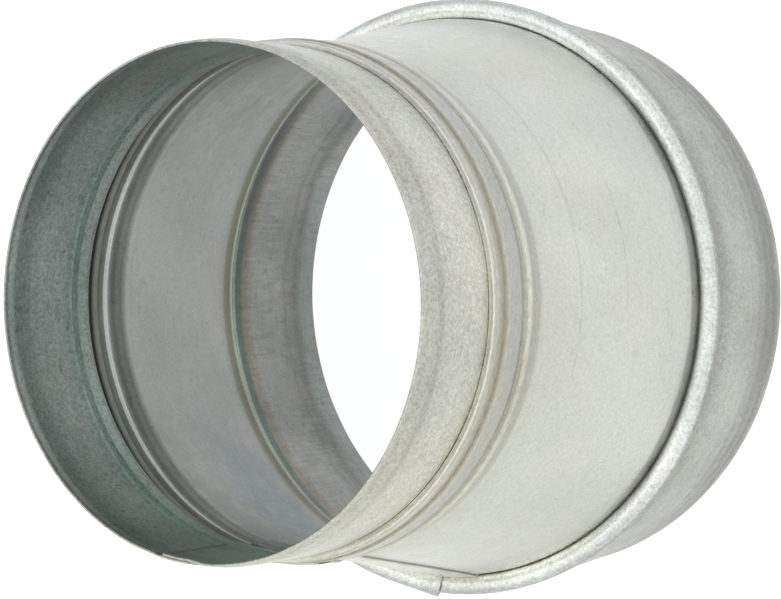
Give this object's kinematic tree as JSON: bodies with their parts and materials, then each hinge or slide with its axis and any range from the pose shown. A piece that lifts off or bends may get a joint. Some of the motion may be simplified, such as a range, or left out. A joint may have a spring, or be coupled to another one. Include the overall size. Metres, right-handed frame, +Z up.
{
  "type": "duct reducer",
  "caption": "Conical reducer for round ducts, made of galvanised sheet: a small plain collar, a cone joined to it by a folded lock seam, and a large collar with a rolled bead.",
  "frame": {"origin": "centre of the large rim's plane, where the reducer stands", "axes": "+Z up along the duct axis, from the large end to the small end"},
  "size_m": [0.1292, 0.1301, 0.124],
  "materials": {
    "small_collar": "galvanised sheet, satin, fine rolling marks",
    "cone": "galvanised sheet, satin, smooth",
    "large_collar": "galvanised sheet, satin, mottled spangle"
  },
  "bodies": {
    "root": {"small_collar": "small_collar", "cone": "cone", "large_collar": "large_collar"}
  },
  "joints": []
}
